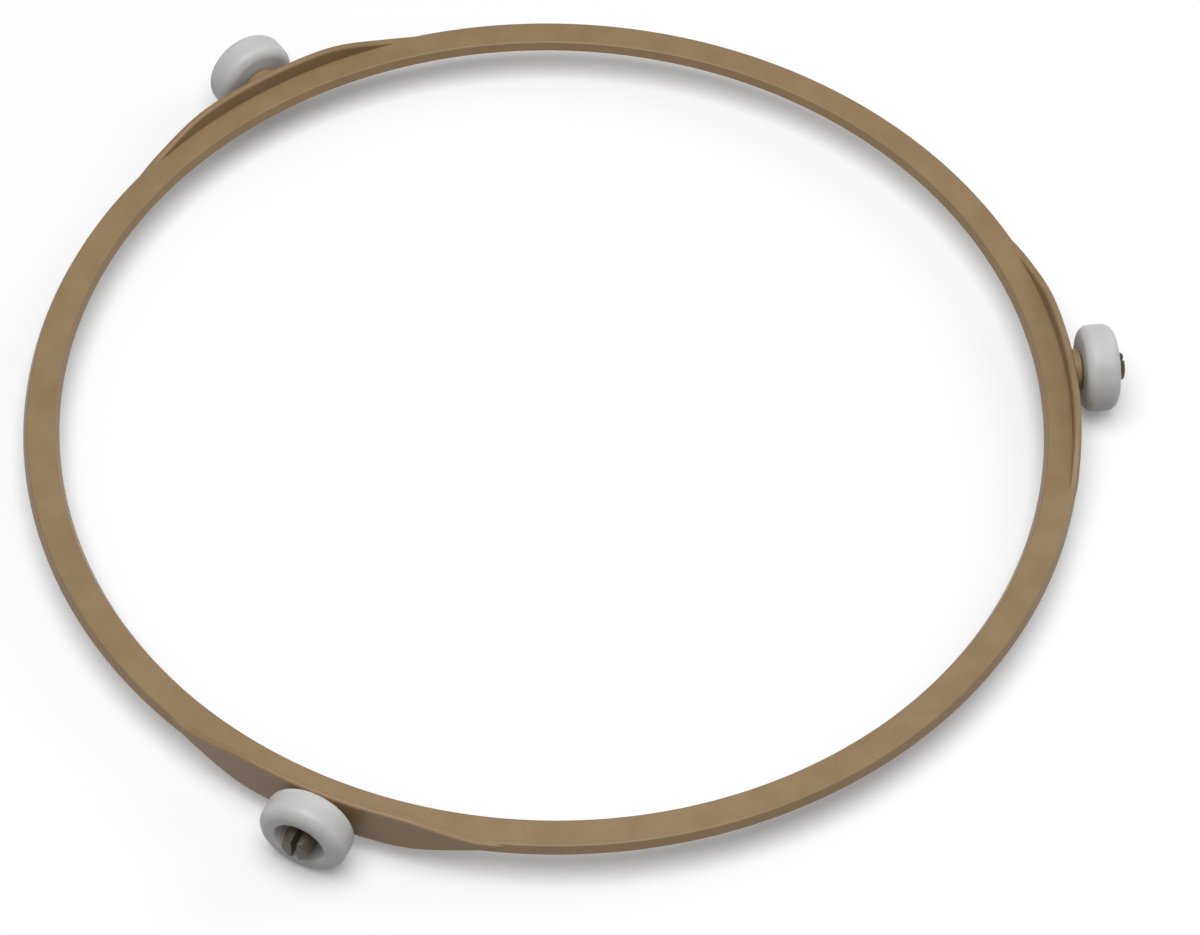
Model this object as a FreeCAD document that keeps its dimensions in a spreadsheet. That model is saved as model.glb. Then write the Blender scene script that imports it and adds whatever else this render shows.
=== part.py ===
"""Microwave roller ring: one moulded ring with three axle carriers, and three clip-on rollers.

Millimetres. +Z is up, the ring's axis is the Z axis and z = 0 is the oven floor that the
rollers run on. Roller 1 is on +X, and the others follow anticlockwise.
"""
import FreeCAD, Part
import os

import Sketcher

ROLLER_NAMES = ("roller_1", "roller_2", "roller_3")
STEP_ANGLE = 360 / len(ROLLER_NAMES)
UPRIGHT = FreeCAD.Vector(0, 0, 1)
SAME_PLACE = 1e-6

# Driving dimensions, in millimetres.
SIZES = {
    # The flat ring: wider at its base than at its top.
    "band_outer_diameter": 203.4,
    "band_base_width": 7.05,
    "band_top_width": 5.45,
    "band_thickness": 1.8,
    "band_edge_break": 0.25,
    # The upright wall that carries each axle: level in the middle, and tapered to both ends.
    "carrier_length": 60.0,
    "carrier_crest_length": 33.0,
    "carrier_height": 8.6,
    "carrier_end_height": 1.2,
    "carrier_thickness": 1.65,
    "carrier_stand_out": 0.05,
    "carrier_lean": 0.25,
    # The stub axle: a boss, a shank and a split head with a barb on each prong.
    "boss_diameter": 8.0,
    "boss_height": 1.15,
    "axle_diameter": 5.0,
    "barb_diameter": 6.2,
    "barb_land": 0.8,
    "tip_diameter": 5.2,
    "tip_reach": 1.7,
    "slot_width": 1.2,
    "slot_depth": 7.0,
    # The roller: a bored wheel with a recess that takes the split head.
    "roller_diameter": 17.0,
    "roller_width": 6.7,
    "roller_inner_edge_break": 1.1,
    "roller_outer_edge_break": 1.1,
    "recess_mouth_diameter": 10.0,
    "recess_floor_diameter": 7.0,
    "recess_depth": 2.7,
    "recess_lip_break": 0.5,
    "bore_lead_in": 0.4,
    # How a roller runs on its axle.
    "running_clearance": 0.08,
    "end_play": 0.3,
}

doc = FreeCAD.newDocument("roller_ring")
sheet = doc.addObject("Spreadsheet::Sheet", "sizes")
for row, (alias, value) in enumerate(SIZES.items(), start=1):
    sheet.set(f"A{row}", alias)
    sheet.set(f"B{row}", str(value))
    sheet.setAlias(f"B{row}", alias)
doc.recompute()


def size(alias):
    return f"sizes.{alias}"


def half(alias):
    return f"(sizes.{alias} / 2)"


# Heights above the floor: the axle lies in the middle of the band's thickness.
AXLE_HEIGHT = half("roller_diameter")
BAND_TOP = f"({AXLE_HEIGHT} + {half('band_thickness')})"
BAND_BASE = f"({AXLE_HEIGHT} - {half('band_thickness')})"

# Radii from the ring's axis, outwards along an axle.
BAND_OUTER = half("band_outer_diameter")
BAND_INNER = f"({BAND_OUTER} - {size('band_base_width')})"
FLANK_RUN = f"({half('band_base_width')} - {half('band_top_width')})"
CARRIER_OUTER = f"({BAND_OUTER} + {size('carrier_stand_out')})"
CARRIER_INNER = f"({CARRIER_OUTER} - {size('carrier_thickness')})"
CARRIER_MIDDLE = f"({CARRIER_OUTER} - {half('carrier_thickness')})"
BOSS_FACE = f"({CARRIER_OUTER} + {size('boss_height')})"
ROLLER_INNER_FACE = f"({BOSS_FACE} + {size('end_play')})"
ROLLER_OUTER_FACE = f"({ROLLER_INNER_FACE} + {size('roller_width')})"
RECESS_FLOOR = f"({ROLLER_OUTER_FACE} - {size('recess_depth')})"
BARB_SHOULDER = f"({RECESS_FLOOR} + {size('end_play')})"
BARB_LAND_END = f"({BARB_SHOULDER} + {size('barb_land')})"
AXLE_TIP = f"({ROLLER_OUTER_FACE} + {size('tip_reach')})"
BORE_RADIUS = f"({half('axle_diameter')} + {size('running_clearance')})"


def number_of(expression):
    """The number that an expression of the sizes stands for."""
    return float(sheet.evalExpression(expression))


def new_body(label):
    body = doc.addObject("PartDesign::Body", label)
    body.Label = label
    return body


def new_sketch(body, name, role, across="", along="", out=""):
    """A sketch on one of the body's own planes, with its origin moved by the given sizes."""
    sketch = body.newObject("Sketcher::SketchObject", name)
    planes = body.Origin.OriginFeatures
    sketch.AttachmentSupport = (next(plane for plane in planes if plane.Role == role), [""])
    sketch.MapMode = "FlatFace"
    for axis, shift in (("x", across), ("y", along), ("z", out)):
        if shift:
            sketch.setExpression(f"AttachmentOffset.Base.{axis}", shift)
    return sketch


def hold_corner(sketch, side, corner):
    """Hold the start of a side at a corner that is given as two expressions."""
    for kind, axis, expression in zip(("DistanceX", "DistanceY"), (-2, -1), corner):
        number = number_of(expression)
        if number == 0:
            sketch.addConstraint(Sketcher.Constraint("PointOnObject", side, 1, axis))
            continue
        ends = (-1, 1, side, 1) if number > 0 else (side, 1, -1, 1)
        held = sketch.addConstraint(Sketcher.Constraint(kind, *ends, abs(number)))
        sketch.setExpression(f"Constraints[{held}]", expression if number > 0 else f"-{expression}")


def draw_outline(sketch, corners):
    """A closed outline of straight sides, held at its corners."""
    points = [FreeCAD.Vector(number_of(x), number_of(y), 0) for x, y in corners]
    first = sketch.GeometryCount
    for start, end in zip(points, points[1:] + points[:1]):
        sketch.addGeometry(Part.LineSegment(start, end), False)
    for index, corner in enumerate(corners):
        side = first + index
        following = first + (index + 1) % len(points)
        sketch.addConstraint(Sketcher.Constraint("Coincident", side, 2, following, 1))
        hold_corner(sketch, side, corner)


def rectangle(left, right, bottom, top):
    return [(left, bottom), (right, bottom), (right, top), (left, top)]


def behind(corners):
    """The same corners on the far side of the ring's axis, so that a full turn starts clear of roller 1."""
    return [(f"(-{across})", along) for across, along in corners]


def turn(body, kind, name, sketch, axis):
    """A full turn of a sketch about one of its own axes, added or cut away."""
    feature = body.newObject(kind, name)
    feature.Profile = sketch
    feature.ReferenceAxis = (sketch, [axis])
    feature.Angle = 360
    doc.recompute()
    return feature


def cut_through(body, name, sketch):
    """Cut a sketch's outline through the body, both ways from its plane."""
    pocket = body.newObject("PartDesign::Pocket", name)
    pocket.Profile = sketch
    pocket.Type = "ThroughAll"
    pocket.Midplane = True
    doc.recompute()
    return pocket


def break_edges(body, name, amount, wanted):
    """Chamfer every edge of the body's tip that is wanted."""
    base = body.Tip
    edges = [f"Edge{n}" for n, edge in enumerate(base.Shape.Edges, start=1) if wanted(edge)]
    chamfer = body.newObject("PartDesign::Chamfer", name)
    chamfer.Base = (base, edges)
    chamfer.setExpression("Size", amount)
    doc.recompute()
    return chamfer


def is_circle(edge, radius):
    """Whether an edge is a full circle of the radius that an expression gives."""
    round_edge = isinstance(edge.Curve, Part.Circle) and edge.isClosed()
    return round_edge and abs(edge.Curve.Radius - number_of(radius)) < SAME_PLACE


def place_round_ring(body, index):
    """Turn a body that was made on +X to its own third of the ring."""
    body.Placement = FreeCAD.Placement(FreeCAD.Vector(), FreeCAD.Rotation(UPRIGHT, STEP_ANGLE * index))


def make_band():
    """The flat ring: a trapezium turned about the ring's axis, with broken top edges."""
    body = new_body("band")
    section = new_sketch(body, "band_section", "XZ_Plane")
    top_inner = f"({BAND_INNER} + {FLANK_RUN})"
    top_outer = f"({BAND_OUTER} - {FLANK_RUN})"
    base = [(BAND_INNER, BAND_BASE), (BAND_OUTER, BAND_BASE)]
    top = [(top_outer, BAND_TOP), (top_inner, BAND_TOP)]
    draw_outline(section, behind(base + top))
    turn(body, "PartDesign::Revolution", "band_turn", section, "V_Axis")

    def top_edge(edge):
        return is_circle(edge, top_inner) or is_circle(edge, top_outer)

    break_edges(body, "band_edges", size("band_edge_break"), top_edge)
    return body


def add_carrier_wall(body):
    """The upright wall: a long hexagon pushed outwards, then trimmed to its curved faces."""
    end = half("carrier_length")
    crest = half("carrier_crest_length")
    low = f"({AXLE_HEIGHT} - {half('carrier_height')})"
    end_low = f"({AXLE_HEIGHT} - {half('carrier_end_height')})"
    end_high = f"({AXLE_HEIGHT} + {half('carrier_end_height')})"
    high = f"({AXLE_HEIGHT} + {half('carrier_height')})"
    start = f"(sqrt({CARRIER_INNER} ^ 2 - {end} ^ 2) - {size('carrier_thickness')})"
    front = new_sketch(body, "carrier_front", "YZ_Plane", out=start)
    right_side = [(crest, low), (end, end_low), (end, end_high), (crest, high)]
    left_side = [(f"(-{across})", height) for across, height in reversed(right_side)]
    draw_outline(front, right_side + left_side)
    pad = body.newObject("PartDesign::Pad", "carrier_pad")
    pad.Profile = front
    pad.setExpression("Length", f"{BOSS_FACE} - {start}")
    doc.recompute()

    # Both faces follow the ring, and the outer one leans out towards its foot.
    above = f"({AXLE_HEIGHT} + {size('carrier_height')})"
    below = f"({AXLE_HEIGHT} - {size('carrier_height')})"
    inside = new_sketch(body, "carrier_inner_trim", "XZ_Plane")
    draw_outline(inside, behind(rectangle(f"({CARRIER_INNER} / 2)", CARRIER_INNER, below, above)))
    turn(body, "PartDesign::Groove", "carrier_inner_face", inside, "V_Axis")
    outside = new_sketch(body, "carrier_outer_trim", "XZ_Plane")
    foot = f"({CARRIER_OUTER} + 2 * {size('carrier_lean')})"
    head = f"({CARRIER_OUTER} - 2 * {size('carrier_lean')})"
    clear = f"({CARRIER_OUTER} + {size('carrier_length')})"
    draw_outline(outside, behind([(foot, below), (clear, below), (clear, above), (head, above)]))
    turn(body, "PartDesign::Groove", "carrier_outer_face", outside, "V_Axis")


def add_stub_axle(body):
    """The axle: turned as one, flattened above and below, and split to snap into a roller."""
    profile = new_sketch(body, "axle_profile", "XZ_Plane", along=AXLE_HEIGHT)
    draw_outline(
        profile,
        [
            (CARRIER_MIDDLE, "0"),
            (AXLE_TIP, "0"),
            (AXLE_TIP, half("tip_diameter")),
            (BARB_LAND_END, half("barb_diameter")),
            (BARB_SHOULDER, half("barb_diameter")),
            (BARB_SHOULDER, half("axle_diameter")),
            (BOSS_FACE, half("axle_diameter")),
            (BOSS_FACE, half("boss_diameter")),
            (CARRIER_MIDDLE, half("boss_diameter")),
        ],
    )
    turn(body, "PartDesign::Revolution", "axle_turn", profile, "H_Axis")

    # The barbs stand out sideways only, so that the head can close up and pass the bore.
    flats = new_sketch(body, "head_flats", "XZ_Plane", along=AXLE_HEIGHT)
    beyond = f"({AXLE_TIP} + {size('tip_reach')})"
    near = half("axle_diameter")
    far = size("barb_diameter")
    draw_outline(flats, rectangle(BARB_SHOULDER, beyond, near, far))
    draw_outline(flats, rectangle(BARB_SHOULDER, beyond, f"(-{far})", f"(-{near})"))
    cut_through(body, "head_flat_cuts", flats)

    slot = new_sketch(body, "head_slot", "XY_Plane")
    root = f"({AXLE_TIP} - {size('slot_depth')})"
    side = half("slot_width")
    draw_outline(slot, rectangle(root, beyond, f"(-{side})", side))
    cut_through(body, "head_slot_cut", slot)


def make_carrier(index):
    body = new_body(f"carrier_{index + 1}")
    add_carrier_wall(body)
    add_stub_axle(body)
    place_round_ring(body, index)
    return body


def make_ring():
    """The moulding: the flat ring and its three axle carriers are one piece."""
    ring = doc.addObject("Part::MultiFuse", "ring")
    ring.Shapes = [make_band()] + [make_carrier(index) for index in range(len(ROLLER_NAMES))]
    ring.Refine = True
    ring.Label = "ring"
    return ring


def make_roller(index, label):
    """A roller: a bored wheel turned about its axle, with broken edges and a recessed outer face."""
    body = new_body(label)
    profile = new_sketch(body, "roller_profile", "XZ_Plane", along=AXLE_HEIGHT)
    tread = half("roller_diameter")
    mouth = half("recess_mouth_diameter")
    draw_outline(
        profile,
        [
            (ROLLER_INNER_FACE, BORE_RADIUS),
            (RECESS_FLOOR, BORE_RADIUS),
            (RECESS_FLOOR, half("recess_floor_diameter")),
            (ROLLER_OUTER_FACE, mouth),
            (ROLLER_OUTER_FACE, tread),
            (ROLLER_INNER_FACE, tread),
        ],
    )
    turn(body, "PartDesign::Revolution", "roller_turn", profile, "H_Axis")

    def at(edge, radius, station):
        return is_circle(edge, radius) and abs(edge.Curve.Center.x - number_of(station)) < SAME_PLACE

    broken_edges = (
        ("inner_edge", "roller_inner_edge_break", tread, ROLLER_INNER_FACE),
        ("outer_edge", "roller_outer_edge_break", tread, ROLLER_OUTER_FACE),
        ("recess_lip", "recess_lip_break", mouth, ROLLER_OUTER_FACE),
        ("bore_mouth", "bore_lead_in", BORE_RADIUS, ROLLER_INNER_FACE),
    )
    for name, amount, radius, station in broken_edges:
        break_edges(body, name, size(amount), lambda edge: at(edge, radius, station))
    place_round_ring(body, index)
    return body


pieces = [make_ring()] + [make_roller(index, label) for index, label in enumerate(ROLLER_NAMES)]
doc.recompute()

for item in doc.Objects:
    if {"Invalid", "Error"} & set(item.State):
        raise RuntimeError(f"{item.Label} did not build: {item.State}")
for piece in pieces:
    if piece.Shape.isNull() or not piece.Shape.isValid() or len(piece.Shape.Solids) != 1:
        raise RuntimeError(f"{piece.Label} is not one sound solid")

os.makedirs("parts", exist_ok=True)
for piece in pieces:
    piece.Shape.exportStep(f"parts/{piece.Label}.step")
    print(f"{piece.Label}: {piece.Shape.Volume:.1f} mm3")
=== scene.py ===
# %% [markdown]
# # A microwave roller ring
# A roller ring lies under the glass tray of a microwave oven and lets it turn. It is a thin moulded
# ring with three upright walls on its edge. Each wall carries a split stub axle, and a pale roller is
# pushed over each axle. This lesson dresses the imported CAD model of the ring: the same sizes, in the
# same place, with the soft edges and the moulded plastics that the real one has.

import math

import bmesh
import bpy
from mathutils import Matrix, Vector


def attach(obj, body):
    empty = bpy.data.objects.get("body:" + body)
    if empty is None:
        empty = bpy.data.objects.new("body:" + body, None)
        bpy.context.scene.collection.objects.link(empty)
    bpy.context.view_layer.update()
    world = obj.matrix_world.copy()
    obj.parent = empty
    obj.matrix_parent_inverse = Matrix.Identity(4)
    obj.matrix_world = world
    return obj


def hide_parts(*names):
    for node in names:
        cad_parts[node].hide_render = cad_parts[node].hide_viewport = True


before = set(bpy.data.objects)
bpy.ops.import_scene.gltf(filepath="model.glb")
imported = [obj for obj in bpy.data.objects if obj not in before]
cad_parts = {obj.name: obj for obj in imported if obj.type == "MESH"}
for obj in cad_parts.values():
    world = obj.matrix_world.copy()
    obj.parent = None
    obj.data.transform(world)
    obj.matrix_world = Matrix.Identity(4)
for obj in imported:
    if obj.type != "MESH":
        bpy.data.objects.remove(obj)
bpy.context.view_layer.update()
print("CAD nodes:", ", ".join(sorted(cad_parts)))

# %% [markdown]
# ## Sizes
# A maker would read these off the drawing, so they are the part's own sizes, in millimetres. Blender
# works in metres, and one factor turns the one into the other. Keeping every size in a named value
# means that a change is made in one place only. A size that only one step needs is named in that step.

# %% Sizes of the ring and the rollers
MM = 0.001
CARRIERS = 3
AXLE_HEIGHT = 8.5
BAND_BASE_RADII = (94.65, 101.7)
BAND_TOP_RADII = (95.45, 100.9)
BAND_HALF_THICKNESS = 0.9
WALL_RADII = (100.1, 101.75)
WALL_HALF_LENGTH = 30.0
WALL_HALF_CREST = 16.5
WALL_HALF_HEIGHT = 4.3
WALL_END_HALF_HEIGHT = 0.6
WALL_LEAN = 0.25
BOSS_FACE = 102.9
ROLLER_FACES = (103.2, 109.9)
ROLLER_RADIUS = 8.5
AXLE_RADIUS = 2.5
BORE_RADIUS = 2.58
RECESS_FLOOR = 107.2
AXLE_TIP = 111.6
print(f"rollers {2 * ROLLER_RADIUS} mm across, band {2 * BAND_BASE_RADII[1]} mm across")

# %% [markdown]
# ## Helpers for node trees
# Shapes and finishes are both drawn as node trees here. One small function adds any node: it sets the
# node's own settings, and each input gets either a plain value or a link from another node. Two more
# start and end a tree for a shape. The first gives it named inputs, so that its sizes can be read and
# changed on the modifier like those of any other tool. The second gives it its shading and its material.

# %% Helpers for node trees
SHARP_CORNER = math.radians(32)


def add_node(tree, kind, inputs=None, **settings):
    """Add a node with its settings, and set or link its inputs."""
    node = tree.nodes.new(kind)
    for name, value in settings.items():
        setattr(node, name, value)
    for key, value in (inputs or {}).items():
        if isinstance(value, bpy.types.Node):
            value = value.outputs[0]
        if isinstance(value, bpy.types.NodeSocket):
            tree.links.new(value, node.inputs[key])
        else:
            node.inputs[key].default_value = value
    return node


def new_shape_tree(name, inputs):
    """A geometry tree with named inputs. Its first input and its output are the shape itself."""
    tree = bpy.data.node_groups.new(name, "GeometryNodeTree")
    tree.interface.new_socket("Shape", in_out="INPUT", socket_type="NodeSocketGeometry")
    for label, kind in inputs.items():
        tree.interface.new_socket(label, in_out="INPUT", socket_type="NodeSocket" + kind)
    tree.interface.new_socket("Shape", in_out="OUTPUT", socket_type="NodeSocketGeometry")
    return tree, tree.nodes.new("NodeGroupInput")


def finish_shape_tree(tree, shape, given):
    """Smooth the faces up to sharp corners, make everything real, and give it its material."""
    angle = add_node(tree, "GeometryNodeInputMeshEdgeAngle")
    sharp = add_node(tree, "FunctionNodeCompare", {0: angle.outputs["Unsigned Angle"], 1: SHARP_CORNER},
                     operation="GREATER_THAN")
    real = add_node(tree, "GeometryNodeRealizeInstances", {"Geometry": shape})
    smooth = add_node(tree, "GeometryNodeSetShadeSmooth", {"Geometry": real, "Shade Smooth": True})
    crisp = add_node(tree, "GeometryNodeSetShadeSmooth",
                     {"Geometry": smooth, "Selection": sharp, "Shade Smooth": False}, domain="EDGE")
    painted = add_node(tree, "GeometryNodeSetMaterial",
                       {"Geometry": crisp, "Material": given.outputs["Material"]})
    add_node(tree, "NodeGroupOutput", {"Shape": painted})


print(f"corners over {math.degrees(SHARP_CORNER):.0f} degrees stay crisp")

# %% [markdown]
# ## From a tree to a plain mesh
# A tree runs on an object as a modifier. The inputs are set first, by each socket's identifier, then the
# object is evaluated once and the result replaces its mesh. What is left is a plain mesh at the origin,
# with its place in its points, just like a CAD node.

# %% Grow a mesh with a tree
def grow(name, tree, mesh, values):
    """An object whose mesh is what the tree makes of the given mesh."""
    piece = bpy.data.objects.new(name, mesh)
    bpy.context.scene.collection.objects.link(piece)
    modifier = piece.modifiers.new(tree.name, "NODES")
    modifier.node_group = tree
    for socket in tree.interface.items_tree:
        if socket.in_out == "INPUT" and socket.name in values:
            modifier[socket.identifier] = values[socket.name]
    return settle(piece)


def settle(piece):
    """Turn what the modifiers make into the piece's own mesh, and take them off."""
    depsgraph = bpy.context.evaluated_depsgraph_get()
    mesh = bpy.data.meshes.new_from_object(piece.evaluated_get(depsgraph), depsgraph=depsgraph)
    piece.modifiers.clear()
    piece.data = mesh
    return piece


def measure(piece):
    """The piece's volume in cubic millimetres, negative if it is inside out, and its open edges."""
    shape = bmesh.new()
    shape.from_mesh(piece.data)
    volume = shape.calc_volume(signed=True) / MM ** 3
    open_edges = sum(not edge.is_manifold for edge in shape.edges)
    shape.free()
    return f"{piece.name}: {volume:.0f} mm3, {open_edges} open edges, {len(piece.data.polygons)} faces"


print("ready to grow", len(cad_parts), "pieces")

# %% [markdown]
# ## Colours
# Colours are picked as they look on a screen, as sRGB hex values. The shader works with linear light, so
# one function turns the one into the other.

# %% Colours
def colour(hex_value):
    """An sRGB hex value as linear red, green, blue and alpha."""
    parts = [int(hex_value[start:start + 2], 16) / 255 for start in (1, 3, 5)]
    linear = [part / 12.92 if part <= 0.04045 else ((part + 0.055) / 1.055) ** 2.4 for part in parts]
    return (*linear, 1.0)


print("white is", colour("#ffffff"))

# %% [markdown]
# ## A moulded plastic
# Both plastics here come out of a mould that was spark eroded, which leaves a very fine grain: the surface
# has a soft satin light and no mirror image. The colour is even, with faint paler and darker clouds where
# the melt cooled at different speeds. So one function makes both. Clouds of a few millimetres tint the
# colour and stir the gloss, and a grain of about a third of a millimetre, a little coarser than the real
# one so that it shows, breaks up the light. Two things are extra: a milky depth for light that goes in
# and comes out nearby, and a darker tone of painted shade from a given distance off the ring's axis
# outwards.

# %% A moulded plastic
def moulded_plastic(name, tones, cloud_mm, grain_mm, grain_height_mm, gloss, ior, milk_mm=0.0, painted_shade=None):
    """A clouded colour, an uneven satin gloss and a fine eroded grain, with milk or painted shade if asked.
    """
    material = bpy.data.materials.new(name)
    material.use_nodes = True
    tree = material.node_tree
    tree.nodes.clear()
    place = add_node(tree, "ShaderNodeTexCoord").outputs["Object"]
    clouds = add_node(tree, "ShaderNodeTexNoise",
                      {"Vector": place, "Scale": 1 / (cloud_mm * MM), "Detail": 4.0, "Roughness": 0.6})
    tint = add_node(tree, "ShaderNodeValToRGB", {"Fac": clouds.outputs["Fac"]})
    for stop, position, tone in zip(tint.color_ramp.elements, (0.32, 0.68), tones):
        stop.position = position
        stop.color = colour(tone)
    grain = add_node(tree, "ShaderNodeTexNoise",
                     {"Vector": place, "Scale": 1 / (grain_mm * MM), "Detail": 2.0})
    sheen = add_node(tree, "ShaderNodeMapRange",
                     {"Value": clouds.outputs["Fac"], "From Min": 0.3, "From Max": 0.7,
                      "To Min": gloss[0], "To Max": gloss[1]})
    relief = add_node(tree, "ShaderNodeBump",
                      {"Height": grain.outputs["Fac"], "Distance": grain_height_mm * MM, "Strength": 1.0})
    shade = tint.outputs["Color"]
    # Painted shade: a darker tone laid on from a given distance off the axis outwards.
    if painted_shade:
        shade = lay_painted_shade(tree, place, shade, *painted_shade)
    surface = add_node(tree, "ShaderNodeBsdfPrincipled",
                       {"Base Color": shade, "Roughness": sheen.outputs["Result"],
                        "Normal": relief.outputs["Normal"], "IOR": ior,
                        "Subsurface Weight": 1.0 if milk_mm else 0.0,
                        "Subsurface Radius": (1.0, 1.0, 1.0), "Subsurface Scale": milk_mm * MM})
    add_node(tree, "ShaderNodeOutputMaterial", {"Surface": surface})
    return material


def lay_painted_shade(tree, place, shade, tone, start_mm, full_mm):
    """Painted shade: shift the colour to a darker tone between two distances from the ring's axis."""
    level = add_node(tree, "ShaderNodeVectorMath", {0: place, 1: (1.0, 1.0, 0.0)}, operation="MULTIPLY")
    reach = add_node(tree, "ShaderNodeVectorMath", {0: level}, operation="LENGTH")
    amount = add_node(tree, "ShaderNodeMapRange",
                      {"Value": reach.outputs["Value"], "From Min": start_mm * MM, "From Max": full_mm * MM})
    # The mix node has several pairs of sockets named A and B, so its colours are given by number.
    painted_shade_mix = add_node(tree, "ShaderNodeMix", {0: amount, 6: shade, 7: colour(tone)}, data_type="RGBA")
    return painted_shade_mix.outputs[2]


print("one recipe for both plastics")

# %% [markdown]
# ## The ring's plastic
# Such rings are moulded in a heat-proof nylon, coloured brown right through. Its satin is smooth enough
# for the rounded edges to catch a thin line of light. The split heads at the ends of the axles are given
# a darker, greyer tone: painted shade for the shade that falls on them in the rollers' recesses. The
# painted shade starts at the floor of the rollers' recess.

# %% Moulded brown nylon
# Painted shade: the split heads turn darker and greyer from the recess floor outwards.
HEAD_PAINTED_SHADE = ("#5d5248", RECESS_FLOOR, RECESS_FLOOR + 2.0)
ring_nylon = moulded_plastic("moulded_brown_nylon", ("#907654", "#987e5c"), cloud_mm=7.0, grain_mm=0.35,
                             grain_height_mm=0.012, gloss=(0.35, 0.45), ior=1.48, painted_shade=HEAD_PAINTED_SHADE)
print("made", ring_nylon.name)

# %% [markdown]
# ## The rollers' plastic
# The rollers are acetal, a slippery plastic that runs dry on its axle. It is milky: a little light goes
# in and comes out again nearby, which softens the shading at the edges. It is nearly white with a cool
# grey cast, and its satin is much like the ring's.

# %% Moulded white acetal
roller_acetal = moulded_plastic("moulded_white_acetal", ("#cacac9", "#d0d0ce"), cloud_mm=4.0, grain_mm=0.3,
                                grain_height_mm=0.006, gloss=(0.36, 0.46), ior=1.48, milk_mm=2.0)
print("made", roller_acetal.name)

# %% [markdown]
# ## Drawing a profile
# A profile is a list of corners: the place along the axis, the distance from the axis and the rounding,
# in millimetres. It becomes a closed line of edges whose points carry the rounding as an attribute.

# %% Draw a profile
def draw_profile(name, corners):
    """A closed line through the corners, with each corner's rounding as an attribute."""
    mesh = bpy.data.meshes.new(name + "_profile")
    places = [(along * MM, out * MM, 0) for along, out, _ in corners]
    sides = [(start, (start + 1) % len(corners)) for start in range(len(corners))]
    mesh.from_pydata(places, sides, [])
    rounding = mesh.attributes.new("rounding", "FLOAT", "POINT")
    rounding.data.foreach_set("value", [radius * MM for _, _, radius in corners])
    return mesh


print("profiles are drawn along x, with the distance from the axis along y")

# %% [markdown]
# ## A grid over a profile
# Turning a profile and sweeping one along a path start in the same way. The corners are rounded, and a flat
# grid is laid with one row for each point of the rounded profile and one column for each step of the way.
# Each grid point then looks up its own profile point. What differs is only where the points go next.

# %% Lay a grid over a profile
def lay_grid(tree, given, spans):
    """The grid, each point's column in it, and the two places of its point on the rounded profile."""
    line = add_node(tree, "GeometryNodeMeshToCurve", {"Mesh": given.outputs["Shape"]})
    rounding = add_node(tree, "GeometryNodeInputNamedAttribute", {"Name": "rounding"}, data_type="FLOAT")
    profile = add_node(tree, "GeometryNodeFilletCurve",
                       {"Curve": line, "Count": given.outputs["Corner Points"],
                        "Radius": rounding.outputs["Attribute"]}, mode="POLY")
    size = add_node(tree, "GeometryNodeAttributeDomainSize", {"Geometry": profile}, component="CURVE")
    points = size.outputs["Point Count"]
    rows = add_node(tree, "FunctionNodeIntegerMath", {0: points, 1: 1}, operation="ADD")
    columns = add_node(tree, "FunctionNodeIntegerMath", {0: spans, 1: 1}, operation="ADD")
    grid = add_node(tree, "GeometryNodeMeshGrid", {"Vertices X": columns, "Vertices Y": rows})
    index = add_node(tree, "GeometryNodeInputIndex")
    row = add_node(tree, "FunctionNodeIntegerMath", {0: index, 1: rows}, operation="MODULO")
    point = add_node(tree, "FunctionNodeIntegerMath", {0: row, 1: points}, operation="MODULO")
    column = add_node(tree, "FunctionNodeIntegerMath", {0: index, 1: rows}, operation="DIVIDE_FLOOR")
    sampled = add_node(tree, "GeometryNodeSampleIndex",
                       {"Geometry": profile, "Value": add_node(tree, "GeometryNodeInputPosition"),
                        "Index": point}, data_type="FLOAT_VECTOR", domain="POINT")
    corner = add_node(tree, "ShaderNodeSeparateXYZ", {"Vector": sampled})
    return grid.outputs["Mesh"], column, corner.outputs["X"], corner.outputs["Y"]


print("two trees share the grid")

# %% [markdown]
# ## A tree that turns a profile
# The band, the axles and the rollers are all round, so one tree makes all of them, as a lathe would. It
# moves every grid point to its place on the turn. Merging the seam closes the shape. Spinning the line in
# edit mode would do the same, but here the steps and the roundings stay inputs.

# %% The lathe tree
SEAM = 0.001 * MM


def make_lathe_tree():
    """A tree that turns a profile about its axis, and then turns and moves the shape into place."""
    tree, given = new_shape_tree("turned_profile", {
        "Corner Points": "Int", "Steps": "Int", "Turn": "Vector", "Place": "Vector",
        "Material": "Material"})
    grid, column, along, out = lay_grid(tree, given, given.outputs["Steps"])
    share = add_node(tree, "ShaderNodeMath", {0: column, 1: given.outputs["Steps"]}, operation="DIVIDE")
    angle = add_node(tree, "ShaderNodeMath", {0: share, 1: math.tau}, operation="MULTIPLY")
    cosine = add_node(tree, "ShaderNodeMath", {0: angle}, operation="COSINE")
    sine = add_node(tree, "ShaderNodeMath", {0: angle}, operation="SINE")
    across = add_node(tree, "ShaderNodeMath", {0: out, 1: cosine}, operation="MULTIPLY")
    upward = add_node(tree, "ShaderNodeMath", {0: out, 1: sine}, operation="MULTIPLY")
    moved = add_node(tree, "ShaderNodeCombineXYZ", {"X": along, "Y": across, "Z": upward})
    turned = add_node(tree, "GeometryNodeSetPosition", {"Geometry": grid, "Position": moved})
    closed = add_node(tree, "GeometryNodeMergeByDistance", {"Geometry": turned, "Distance": SEAM})
    # A side that lies on the axis itself shrinks to loose edges, which are taken away.
    beside = add_node(tree, "GeometryNodeInputMeshEdgeNeighbors")
    loose = add_node(tree, "FunctionNodeCompare", {2: beside.outputs["Face Count"], 3: 0},
                     data_type="INT", operation="EQUAL")
    clean = add_node(tree, "GeometryNodeDeleteGeometry", {"Geometry": closed, "Selection": loose},
                     domain="EDGE")
    placed = add_node(tree, "GeometryNodeTransform",
                      {"Geometry": clean, "Rotation": given.outputs["Turn"],
                       "Translation": given.outputs["Place"]})
    finish_shape_tree(tree, placed, given)
    return tree


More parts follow.
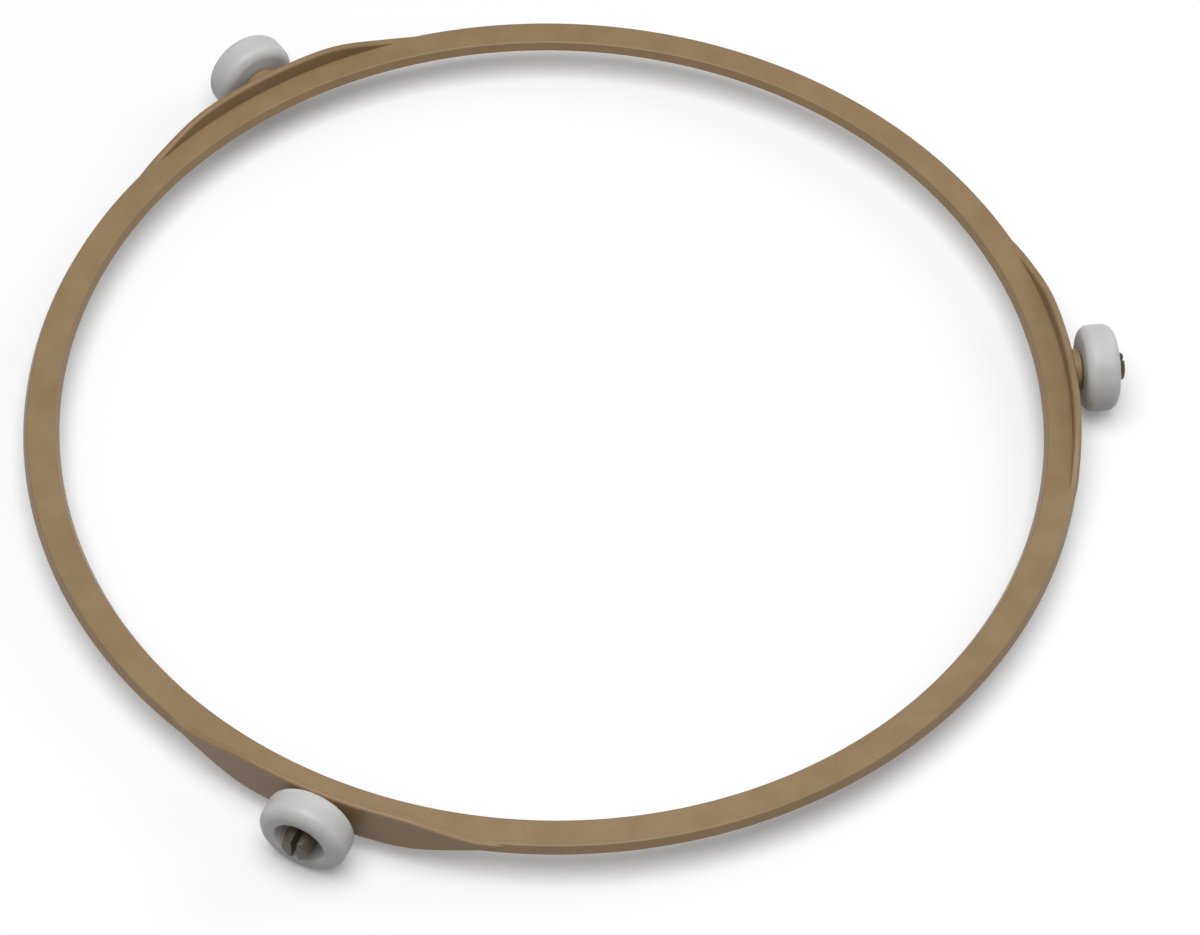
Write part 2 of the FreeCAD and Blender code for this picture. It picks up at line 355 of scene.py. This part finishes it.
def turn_profile(name, corners, material, steps, turn=(0, 0, 0), height=0.0, corner_points=5):
    """An object turned from a list of corners, at a height above the floor."""
    values = {"Corner Points": corner_points, "Steps": steps, "Turn": turn,
              "Place": (0, 0, height * MM), "Material": material}
    return grow(name, lathe_tree, draw_profile(name, corners), values)


lathe_tree = make_lathe_tree()
print("lathe tree:", len(lathe_tree.nodes), "nodes")

# %% [markdown]
# ## The band
# The flat ring is a trapezium in section: wider at its base, so that it leaves the mould, with softly
# rounded top edges. It is the only piece that turns about the upright axis, so its profile is tipped up
# by a quarter turn.

# %% Turn the band
BASE_ROUNDING, TOP_ROUNDING = 0.15, 0.45
band_base = AXLE_HEIGHT - BAND_HALF_THICKNESS
band_top = AXLE_HEIGHT + BAND_HALF_THICKNESS
band = turn_profile("band", [
    (band_base, BAND_BASE_RADII[0], BASE_ROUNDING), (band_base, BAND_BASE_RADII[1], BASE_ROUNDING),
    (band_top, BAND_TOP_RADII[1], TOP_ROUNDING), (band_top, BAND_TOP_RADII[0], TOP_ROUNDING),
], ring_nylon, steps=288, turn=(0, math.radians(-90), 0))
print(measure(band))

# %% [markdown]
# ## The rules of a wall
# Each axle stands on an upright wall that grows out of the band's edge. Two rules give its shape. Its
# height is level over the middle and then falls straight to both ends, with an easy bend into the crest
# and into the ends. Its outer face leans out towards its foot, and over the last few millimetres it runs
# out into the band, slowly at first.

# %% The wall's height and outer face
def wall_height(tree, get, away, level):
    """A section point's height, at a distance from the middle of the wall."""
    fall = add_node(tree, "ShaderNodeMapRange",
                    {"Value": away, "From Min": get["Half Crest"], "From Max": get["Half Taper"],
                     "To Min": get["Half Height"], "To Max": get["End Half Height"]}, clamp=False)
    crest = add_node(tree, "ShaderNodeMath", {0: fall, 1: get["Half Height"], 2: get["Bend"]},
                     operation="SMOOTH_MIN")
    half_height = add_node(tree, "ShaderNodeMath", {0: crest, 1: get["End Half Height"], 2: get["Bend"]},
                           operation="SMOOTH_MAX")
    drop = add_node(tree, "ShaderNodeMath", {0: get["Half Height"], 1: half_height}, operation="SUBTRACT")
    upper = add_node(tree, "ShaderNodeMath", {0: level}, operation="SIGN")
    lowered = add_node(tree, "ShaderNodeMath", {0: upper, 1: drop}, operation="MULTIPLY")
    return add_node(tree, "ShaderNodeMath", {0: level, 1: lowered}, operation="SUBTRACT")


def wall_face(tree, get, away, height, out):
    """A section point's place across the wall. Only the outer face leans and runs out."""
    outer = add_node(tree, "ShaderNodeMath", {0: out, 1: 0.0}, operation="GREATER_THAN")
    share = add_node(tree, "ShaderNodeMath", {0: height, 1: get["Half Height"]}, operation="DIVIDE")
    lean = add_node(tree, "ShaderNodeMath", {0: share, 1: get["Lean"]}, operation="MULTIPLY")
    run_start = add_node(tree, "ShaderNodeMath", {0: get["Half Length"], 1: get["Run Length"]},
                         operation="SUBTRACT")
    run_share = add_node(tree, "ShaderNodeMapRange",
                         {"Value": away, "From Min": run_start, "From Max": get["Half Length"]}, clamp=True)
    run_curve = add_node(tree, "ShaderNodeMath", {0: run_share, 1: 2.0}, operation="POWER")
    run_out = add_node(tree, "ShaderNodeMath", {0: run_curve, 1: get["Run Out"]}, operation="MULTIPLY")
    both = add_node(tree, "ShaderNodeMath", {0: lean, 1: run_out}, operation="ADD")
    inward = add_node(tree, "ShaderNodeMath", {0: both, 1: outer}, operation="MULTIPLY")
    return add_node(tree, "ShaderNodeMath", {0: out, 1: inward}, operation="SUBTRACT")


print("a wall has two rules")

# %% [markdown]
# ## The wall tree
# The tree sweeps a rounded rectangle along the band and lets the two rules set its height and its outer
# face at each station. A closing row at each end draws the rectangle together to a point, so that the wall
# is a closed solid.

# %% The wall tree
def make_wall_tree():
    """A tree that sweeps a section along the band's edge by the wall's rules."""
    tree, given = new_shape_tree("carrier_wall", {
        "Corner Points": "Int", "Stations": "Int", "Half Length": "Float", "Half Taper": "Float",
        "Half Crest": "Float", "Half Height": "Float", "End Half Height": "Float", "Bend": "Float",
        "Middle Radius": "Float", "Lean": "Float", "Run Out": "Float", "Run Length": "Float",
        "Axle Height": "Float", "Material": "Material"})
    get = given.outputs
    last = add_node(tree, "FunctionNodeIntegerMath", {0: get["Stations"], 1: 2}, operation="ADD")
    grid, column, out, level = lay_grid(tree, given, last)

    # Where the station lies along the wall, from -1 to 1. The closing rows share the end stations.
    last_station = add_node(tree, "FunctionNodeIntegerMath", {0: last, 1: 1}, operation="SUBTRACT")
    station = add_node(tree, "ShaderNodeMapRange",
                       {"Value": column, "From Min": 1.0, "From Max": last_station,
                        "To Min": -1.0, "To Max": 1.0}, clamp=True)
    side = add_node(tree, "ShaderNodeMath", {0: station, 1: get["Half Length"]}, operation="MULTIPLY")
    away = add_node(tree, "ShaderNodeMath", {0: side}, operation="ABSOLUTE")
    height = wall_height(tree, get, away, level)
    out = wall_face(tree, get, away, height, out)

    # A closing row has no size of its own.
    not_first = add_node(tree, "FunctionNodeCompare", {2: column, 3: 0}, data_type="INT",
                         operation="NOT_EQUAL")
    not_last = add_node(tree, "FunctionNodeCompare", {2: column, 3: last}, data_type="INT",
                        operation="NOT_EQUAL")
    kept = add_node(tree, "ShaderNodeMath", {0: not_first, 1: not_last}, operation="MULTIPLY")
    height = add_node(tree, "ShaderNodeMath", {0: height, 1: kept}, operation="MULTIPLY")
    out = add_node(tree, "ShaderNodeMath", {0: out, 1: kept}, operation="MULTIPLY")

    # Bend the sweep round the ring.
    radius = add_node(tree, "ShaderNodeMath", {0: out, 1: get["Middle Radius"]}, operation="ADD")
    reach = add_node(tree, "ShaderNodeMath", {0: side, 1: get["Middle Radius"]}, operation="DIVIDE")
    angle = add_node(tree, "ShaderNodeMath", {0: reach}, operation="ARCSINE")
    cosine = add_node(tree, "ShaderNodeMath", {0: angle}, operation="COSINE")
    sine = add_node(tree, "ShaderNodeMath", {0: angle}, operation="SINE")
    forward = add_node(tree, "ShaderNodeMath", {0: radius, 1: cosine}, operation="MULTIPLY")
    across = add_node(tree, "ShaderNodeMath", {0: radius, 1: sine}, operation="MULTIPLY")
    upward = add_node(tree, "ShaderNodeMath", {0: height, 1: get["Axle Height"]}, operation="ADD")
    moved = add_node(tree, "ShaderNodeCombineXYZ", {"X": forward, "Y": across, "Z": upward})
    swept = add_node(tree, "GeometryNodeSetPosition", {"Geometry": grid, "Position": moved})
    closed = add_node(tree, "GeometryNodeMergeByDistance", {"Geometry": swept, "Distance": SEAM})
    finish_shape_tree(tree, closed, given)
    return tree


wall_tree = make_wall_tree()
print("wall tree:", len(wall_tree.nodes), "nodes")

# %% [markdown]
# ## One wall
# The section is the wall's full rectangle at its crest, with the soft corners of the real moulding. It is
# drawn about its own middle, and the tree carries it out to the band's edge. The sweep goes on a little
# past the end of the taper, inside the band, so that the wall dies away without a step.

# %% Sweep one wall
WALL_ROUNDING, WALL_BEND = 0.5, 2.0
WALL_OVERRUN, RUN_OUT, RUN_LENGTH = 4.0, 0.55, 7.0
half_thick = (WALL_RADII[1] - WALL_RADII[0]) / 2
wall_section = draw_profile("wall", [
    (across * half_thick, up * WALL_HALF_HEIGHT, WALL_ROUNDING)
    for across, up in ((-1, -1), (1, -1), (1, 1), (-1, 1))])
wall_sizes = {
    "Half Length": WALL_HALF_LENGTH + WALL_OVERRUN, "Half Taper": WALL_HALF_LENGTH,
    "Half Crest": WALL_HALF_CREST, "Half Height": WALL_HALF_HEIGHT,
    "End Half Height": WALL_END_HALF_HEIGHT, "Bend": WALL_BEND,
    "Middle Radius": sum(WALL_RADII) / 2, "Lean": WALL_LEAN,
    "Run Out": RUN_OUT, "Run Length": RUN_LENGTH, "Axle Height": AXLE_HEIGHT}
wall = grow("wall", wall_tree, wall_section, {
    "Corner Points": 5, "Stations": 96, "Material": ring_nylon,
    **{label: size * MM for label, size in wall_sizes.items()}})
print(measure(wall))

# %% [markdown]
# ## The stub axle
# The axle is turned in one piece: a boss that keeps the roller off the wall, the shank it runs on, and a
# head with a barb and a tapered tip. Its root lies inside the wall.

# %% Turn one axle
BOSS_RADIUS, BARB_RADIUS, TIP_RADIUS = 4.0, 3.1, 2.6
ROOT_DEPTH, END_PLAY, BARB_LAND = 0.6, 0.3, 0.8
axle_root = WALL_RADII[0] + ROOT_DEPTH
barb_shoulder = RECESS_FLOOR + END_PLAY
axle_blank = turn_profile("axle", [
    (axle_root, 0.0, 0.0), (axle_root, BOSS_RADIUS, 0.0), (BOSS_FACE, BOSS_RADIUS, 0.2),
    (BOSS_FACE, AXLE_RADIUS, 0.15), (barb_shoulder, AXLE_RADIUS, 0.0), (barb_shoulder, BARB_RADIUS, 0.1),
    (barb_shoulder + BARB_LAND, BARB_RADIUS, 0.2), (AXLE_TIP, TIP_RADIUS, 0.35), (AXLE_TIP, 0.0, 0.0),
], ring_nylon, steps=64, height=AXLE_HEIGHT)
print(measure(axle_blank))

# %% [markdown]
# ## The split head
# Three boxes are then cut away from the axle. Two leave flats above and below, so that the barbs stand out
# sideways only. The third splits the head into two prongs, which close up while a roller is pushed on and
# spring back behind it.

# %% Split the head
def make_split_tree():
    """A tree that cuts a slot and two flats."""
    tree, given = new_shape_tree("split_head", {
        "Slot Size": "Vector", "Slot Place": "Vector", "Flat Size": "Vector", "Flat Place": "Vector",
        "Other Flat Place": "Vector", "Material": "Material"})
    get = given.outputs
    shape = get["Shape"]
    for size, place in (("Slot Size", "Slot Place"), ("Flat Size", "Flat Place"),
                        ("Flat Size", "Other Flat Place")):
        box = add_node(tree, "GeometryNodeMeshCube", {"Size": get[size]})
        moved = add_node(tree, "GeometryNodeTransform",
                         {"Geometry": box.outputs["Mesh"], "Translation": get[place]})
        cut = add_node(tree, "GeometryNodeMeshBoolean", {"Mesh 1": shape, "Mesh 2": moved},
                       operation="DIFFERENCE", solver="MANIFOLD")
        shape = cut.outputs["Mesh"]
    finish_shape_tree(tree, shape, given)
    return tree


SLOT_WIDTH, SLOT_DEPTH, CLEAR = 1.2, 7.0, 4.0
slot_middle = AXLE_TIP - SLOT_DEPTH / 2 + CLEAR / 2
flat_middle = barb_shoulder + CLEAR
flat_height = AXLE_RADIUS + CLEAR / 2
split_tree = make_split_tree()
axle = grow("axle", split_tree, axle_blank.data, {
    "Slot Size": ((SLOT_DEPTH + CLEAR) * MM, SLOT_WIDTH * MM, 4 * CLEAR * MM),
    "Slot Place": (slot_middle * MM, 0, AXLE_HEIGHT * MM),
    "Flat Size": (2 * CLEAR * MM, 4 * CLEAR * MM, CLEAR * MM),
    "Flat Place": (flat_middle * MM, 0, (AXLE_HEIGHT + flat_height) * MM),
    "Other Flat Place": (flat_middle * MM, 0, (AXLE_HEIGHT - flat_height) * MM),
    "Material": ring_nylon})
bpy.data.objects.remove(axle_blank)
print(measure(axle))

# %% [markdown]
# ## The moulding
# On the real ring the band, the walls and the axles are one shot of plastic, so here they become one mesh.
# The tree sets a wall and an axle at each third of the ring and unites them with the band. The union leaves
# the crisp inner corner between wall and band that shows as a dark line on the real one.

# %% Unite the moulding
def make_moulding_tree():
    """A tree that unites the band with a wall and an axle for each carrier."""
    tree, given = new_shape_tree("moulding", {
        "Wall": "Object", "Axle": "Object", "Carriers": "Int", "Material": "Material"})
    get = given.outputs
    thirds = add_node(tree, "GeometryNodePoints", {"Count": get["Carriers"]})
    share = add_node(tree, "ShaderNodeMath",
                     {0: add_node(tree, "GeometryNodeInputIndex"), 1: get["Carriers"]}, operation="DIVIDE")
    angle = add_node(tree, "ShaderNodeMath", {0: share, 1: math.tau}, operation="MULTIPLY")
    turn = add_node(tree, "ShaderNodeCombineXYZ", {"Z": angle})
    shape = get["Shape"]
    for label in ("Wall", "Axle"):
        piece = add_node(tree, "GeometryNodeObjectInfo", {"Object": get[label]})
        copies = add_node(tree, "GeometryNodeInstanceOnPoints",
                          {"Points": thirds, "Instance": piece.outputs["Geometry"], "Rotation": turn})
        real = add_node(tree, "GeometryNodeRealizeInstances", {"Geometry": copies})
        union = add_node(tree, "GeometryNodeMeshBoolean", operation="UNION", solver="MANIFOLD")
        tree.links.new(shape, union.inputs["Mesh 2"])
        tree.links.new(real.outputs["Geometry"], union.inputs["Mesh 2"])
        shape = union.outputs["Mesh"]
    merged = add_node(tree, "GeometryNodeMergeByDistance", {"Geometry": shape, "Distance": SEAM})
    finish_shape_tree(tree, merged, given)
    return tree


moulding_tree = make_moulding_tree()
ring = grow("ring_moulding", moulding_tree, band.data, {
    "Wall": wall, "Axle": axle, "Carriers": CARRIERS, "Material": ring_nylon})
for tool in (band, wall, axle):
    bpy.data.objects.remove(tool)
print(measure(ring))

# %% [markdown]
# ## The rollers
# A roller is a plain moulded wheel. Both edges are well rounded, the outer one a little more, and a dished
# recess in its outer face takes the split head. All three come from one profile, each turned to its own
# third of the ring.

# %% Turn the rollers
INNER_EDGE, OUTER_EDGE = 2.0, 2.2
MOUTH_RADIUS, FLOOR_RADIUS, LEAD_IN = 5.0, 3.5, 0.4
inner_face, outer_face = ROLLER_FACES
roller_corners = [
    (inner_face, BORE_RADIUS + LEAD_IN, 0.1), (inner_face, ROLLER_RADIUS, INNER_EDGE),
    (outer_face, ROLLER_RADIUS, OUTER_EDGE), (outer_face, MOUTH_RADIUS, 0.6),
    (RECESS_FLOOR, FLOOR_RADIUS, 0.4), (RECESS_FLOOR, BORE_RADIUS, 0.15),
    (inner_face + LEAD_IN, BORE_RADIUS, 0.1)]
rollers = []
for number in range(CARRIERS):
    rollers.append(turn_profile(f"roller_{number + 1}_wheel", roller_corners, roller_acetal, steps=96,
                                turn=(0, 0, math.tau * number / CARRIERS), height=AXLE_HEIGHT,
                                corner_points=8))
    print(measure(rollers[-1]))

# %% [markdown]
# ## Even shading
# A rounding of a few facets would tip the shading of the flat face beside it. Weighing the normals by the
# size of the faces keeps flat faces flat up to their edges, as they are on the real mouldings.

# %% Weigh the normals
for piece in [ring] + rollers:
    weigh = piece.modifiers.new("weighed_normals", "WEIGHTED_NORMAL")
    weigh.keep_sharp = True
    settle(piece)
    print(piece.name, "has custom normals:", piece.data.has_custom_normals)

# %% [markdown]
# ## What moves with what
# The moulding rides on the ring's body. Each roller rides on its own body, so that it spins about its axle.
# Each piece stands for its CAD node, which is hidden.

# %% Ride on the bodies
for piece, node, slot in [(ring, "ring", "ring")] + [
        (roller, f"roller_{number}", "roller") for number, roller in enumerate(rollers, start=1)]:
    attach(piece, node)
    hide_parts(node)
    print(piece.name, "rides on", node)

# %% [markdown]
# ## The floor
# The ring lies on a plain white sheet. The sheet glows a little to the camera alone, which makes it white
# without putting more light on the ring. To all other light it is a middle grey, so that what comes back
# up from it leaves the undersides and the upright faces as dark as they should be.

# %% Floor
SHEET_WHITE, SHEET_GLOW, SHEET_GREY = "#f2f2f3", 0.15, "#868686"
FLOOR_HALF = 0.7


def white_sheet():
    """White paper as the camera sees it, and a middle grey one for the light that it throws back."""
    material = bpy.data.materials.new("white_paper_sheet")
    material.use_nodes = True
    tree = material.node_tree
    tree.nodes.clear()
    path = add_node(tree, "ShaderNodeLightPath")
    seen = add_node(tree, "ShaderNodeMath",
                    {0: path.outputs["Is Camera Ray"], 1: path.outputs["Is Glossy Ray"]},
                    operation="MAXIMUM")
    paper = add_node(tree, "ShaderNodeBsdfDiffuse", {"Color": colour(SHEET_WHITE)})
    glow = add_node(tree, "ShaderNodeEmission", {"Color": colour("#ffffff"), "Strength": SHEET_GLOW})
    lit = add_node(tree, "ShaderNodeAddShader", {0: paper, 1: glow})
    dim = add_node(tree, "ShaderNodeBsdfDiffuse", {"Color": colour(SHEET_GREY)})
    both = add_node(tree, "ShaderNodeMixShader", {0: seen, 1: dim, 2: lit})
    add_node(tree, "ShaderNodeOutputMaterial", {"Surface": both})
    return material


floor_mesh = bpy.data.meshes.new("floor")
floor_mesh.from_pydata([(x * FLOOR_HALF, y * FLOOR_HALF, 0)
                        for x, y in ((-1, -1), (1, -1), (1, 1), (-1, 1))], [], [(0, 1, 2, 3)])
floor_mesh.materials.append(white_sheet())
floor = bpy.data.objects.new("floor", floor_mesh)
bpy.context.scene.collection.objects.link(floor)
print("floor", 2 * FLOOR_HALF, "m wide")

# %% [markdown]
# ## The light
# Nearly all of the light comes from one large soft lamp overhead, so upright faces are about half as bright
# as level ones and each piece has a soft shadow right under it. A weak lamp behind on one side opens the
# shadows a little. The room around is white where the camera looks past the sheet, and dim as a light.

# %% Lamps and room
ROOM_LIGHT = 0.26


def hang_lamp(name, place, size, energy):
    """A round soft lamp that points at the middle of the ring."""
    data = bpy.data.lights.new(name, "AREA")
    data.shape = "DISK"
    data.size = size
    data.energy = energy
    lamp = bpy.data.objects.new(name, data)
    lamp.location = place
    lamp.rotation_euler = Vector(place).to_track_quat("Z", "Y").to_euler()
    bpy.context.scene.collection.objects.link(lamp)
    print(name, energy, "W,", size, "m across")


hang_lamp("top_lamp", (-0.07, -0.13, 1.1), size=1.0, energy=9.5)
hang_lamp("fill_lamp", (0.75, 0.35, 0.5), size=0.7, energy=1.6)

world = bpy.data.worlds.new("pale_room")
world.use_nodes = True
world.node_tree.nodes.clear()
path = add_node(world.node_tree, "ShaderNodeLightPath")
seen = add_node(world.node_tree, "ShaderNodeMath",
                {0: path.outputs["Is Camera Ray"], 1: path.outputs["Is Transmission Ray"]},
                operation="MAXIMUM")
strength = add_node(world.node_tree, "ShaderNodeMapRange",
                    {"Value": seen, "To Min": ROOM_LIGHT, "To Max": 1.0})
room = add_node(world.node_tree, "ShaderNodeBackground", {"Color": colour("#ffffff"), "Strength": strength})
add_node(world.node_tree, "ShaderNodeOutputWorld", {"Surface": room})
bpy.context.scene.world = world
bpy.context.scene.view_settings.view_transform = "Standard"
print("room light", ROOM_LIGHT)

# %% [markdown]
# ## Camera
# The picture was taken from above, from well back with a long lens, and held a little askew. The camera
# aims at a point near the middle of the band's top, from its own azimuth, height and distance, and is then
# rolled about its line of sight. Angles are in degrees, and the lens and its sensor in millimetres.

# %% Camera
AIM = (7.35, -16.5, 9.4)
AZIMUTH, ELEVATION, ROLL = -97.66, 52.218, 2.011
DISTANCE = 788.3
LENS, SENSOR_WIDTH = 124.23, 36.0
camera_data = bpy.data.cameras.new("camera")
camera_data.sensor_width = SENSOR_WIDTH
camera_data.lens = LENS
camera_data.clip_start = 0.05
camera = bpy.data.objects.new("camera", camera_data)
azimuth, elevation = math.radians(AZIMUTH), math.radians(ELEVATION)
sight = Vector((math.cos(azimuth) * math.cos(elevation), math.sin(azimuth) * math.cos(elevation),
                math.sin(elevation)))
camera.location = (Vector(AIM) + DISTANCE * sight) * MM
level = sight.to_track_quat("Z", "Y").to_matrix().to_4x4()
camera.rotation_euler = (level @ Matrix.Rotation(math.radians(ROLL), 4, "Z")).to_euler()
bpy.context.scene.collection.objects.link(camera)
bpy.context.scene.camera = camera
print("camera at", [round(value, 3) for value in camera.location])
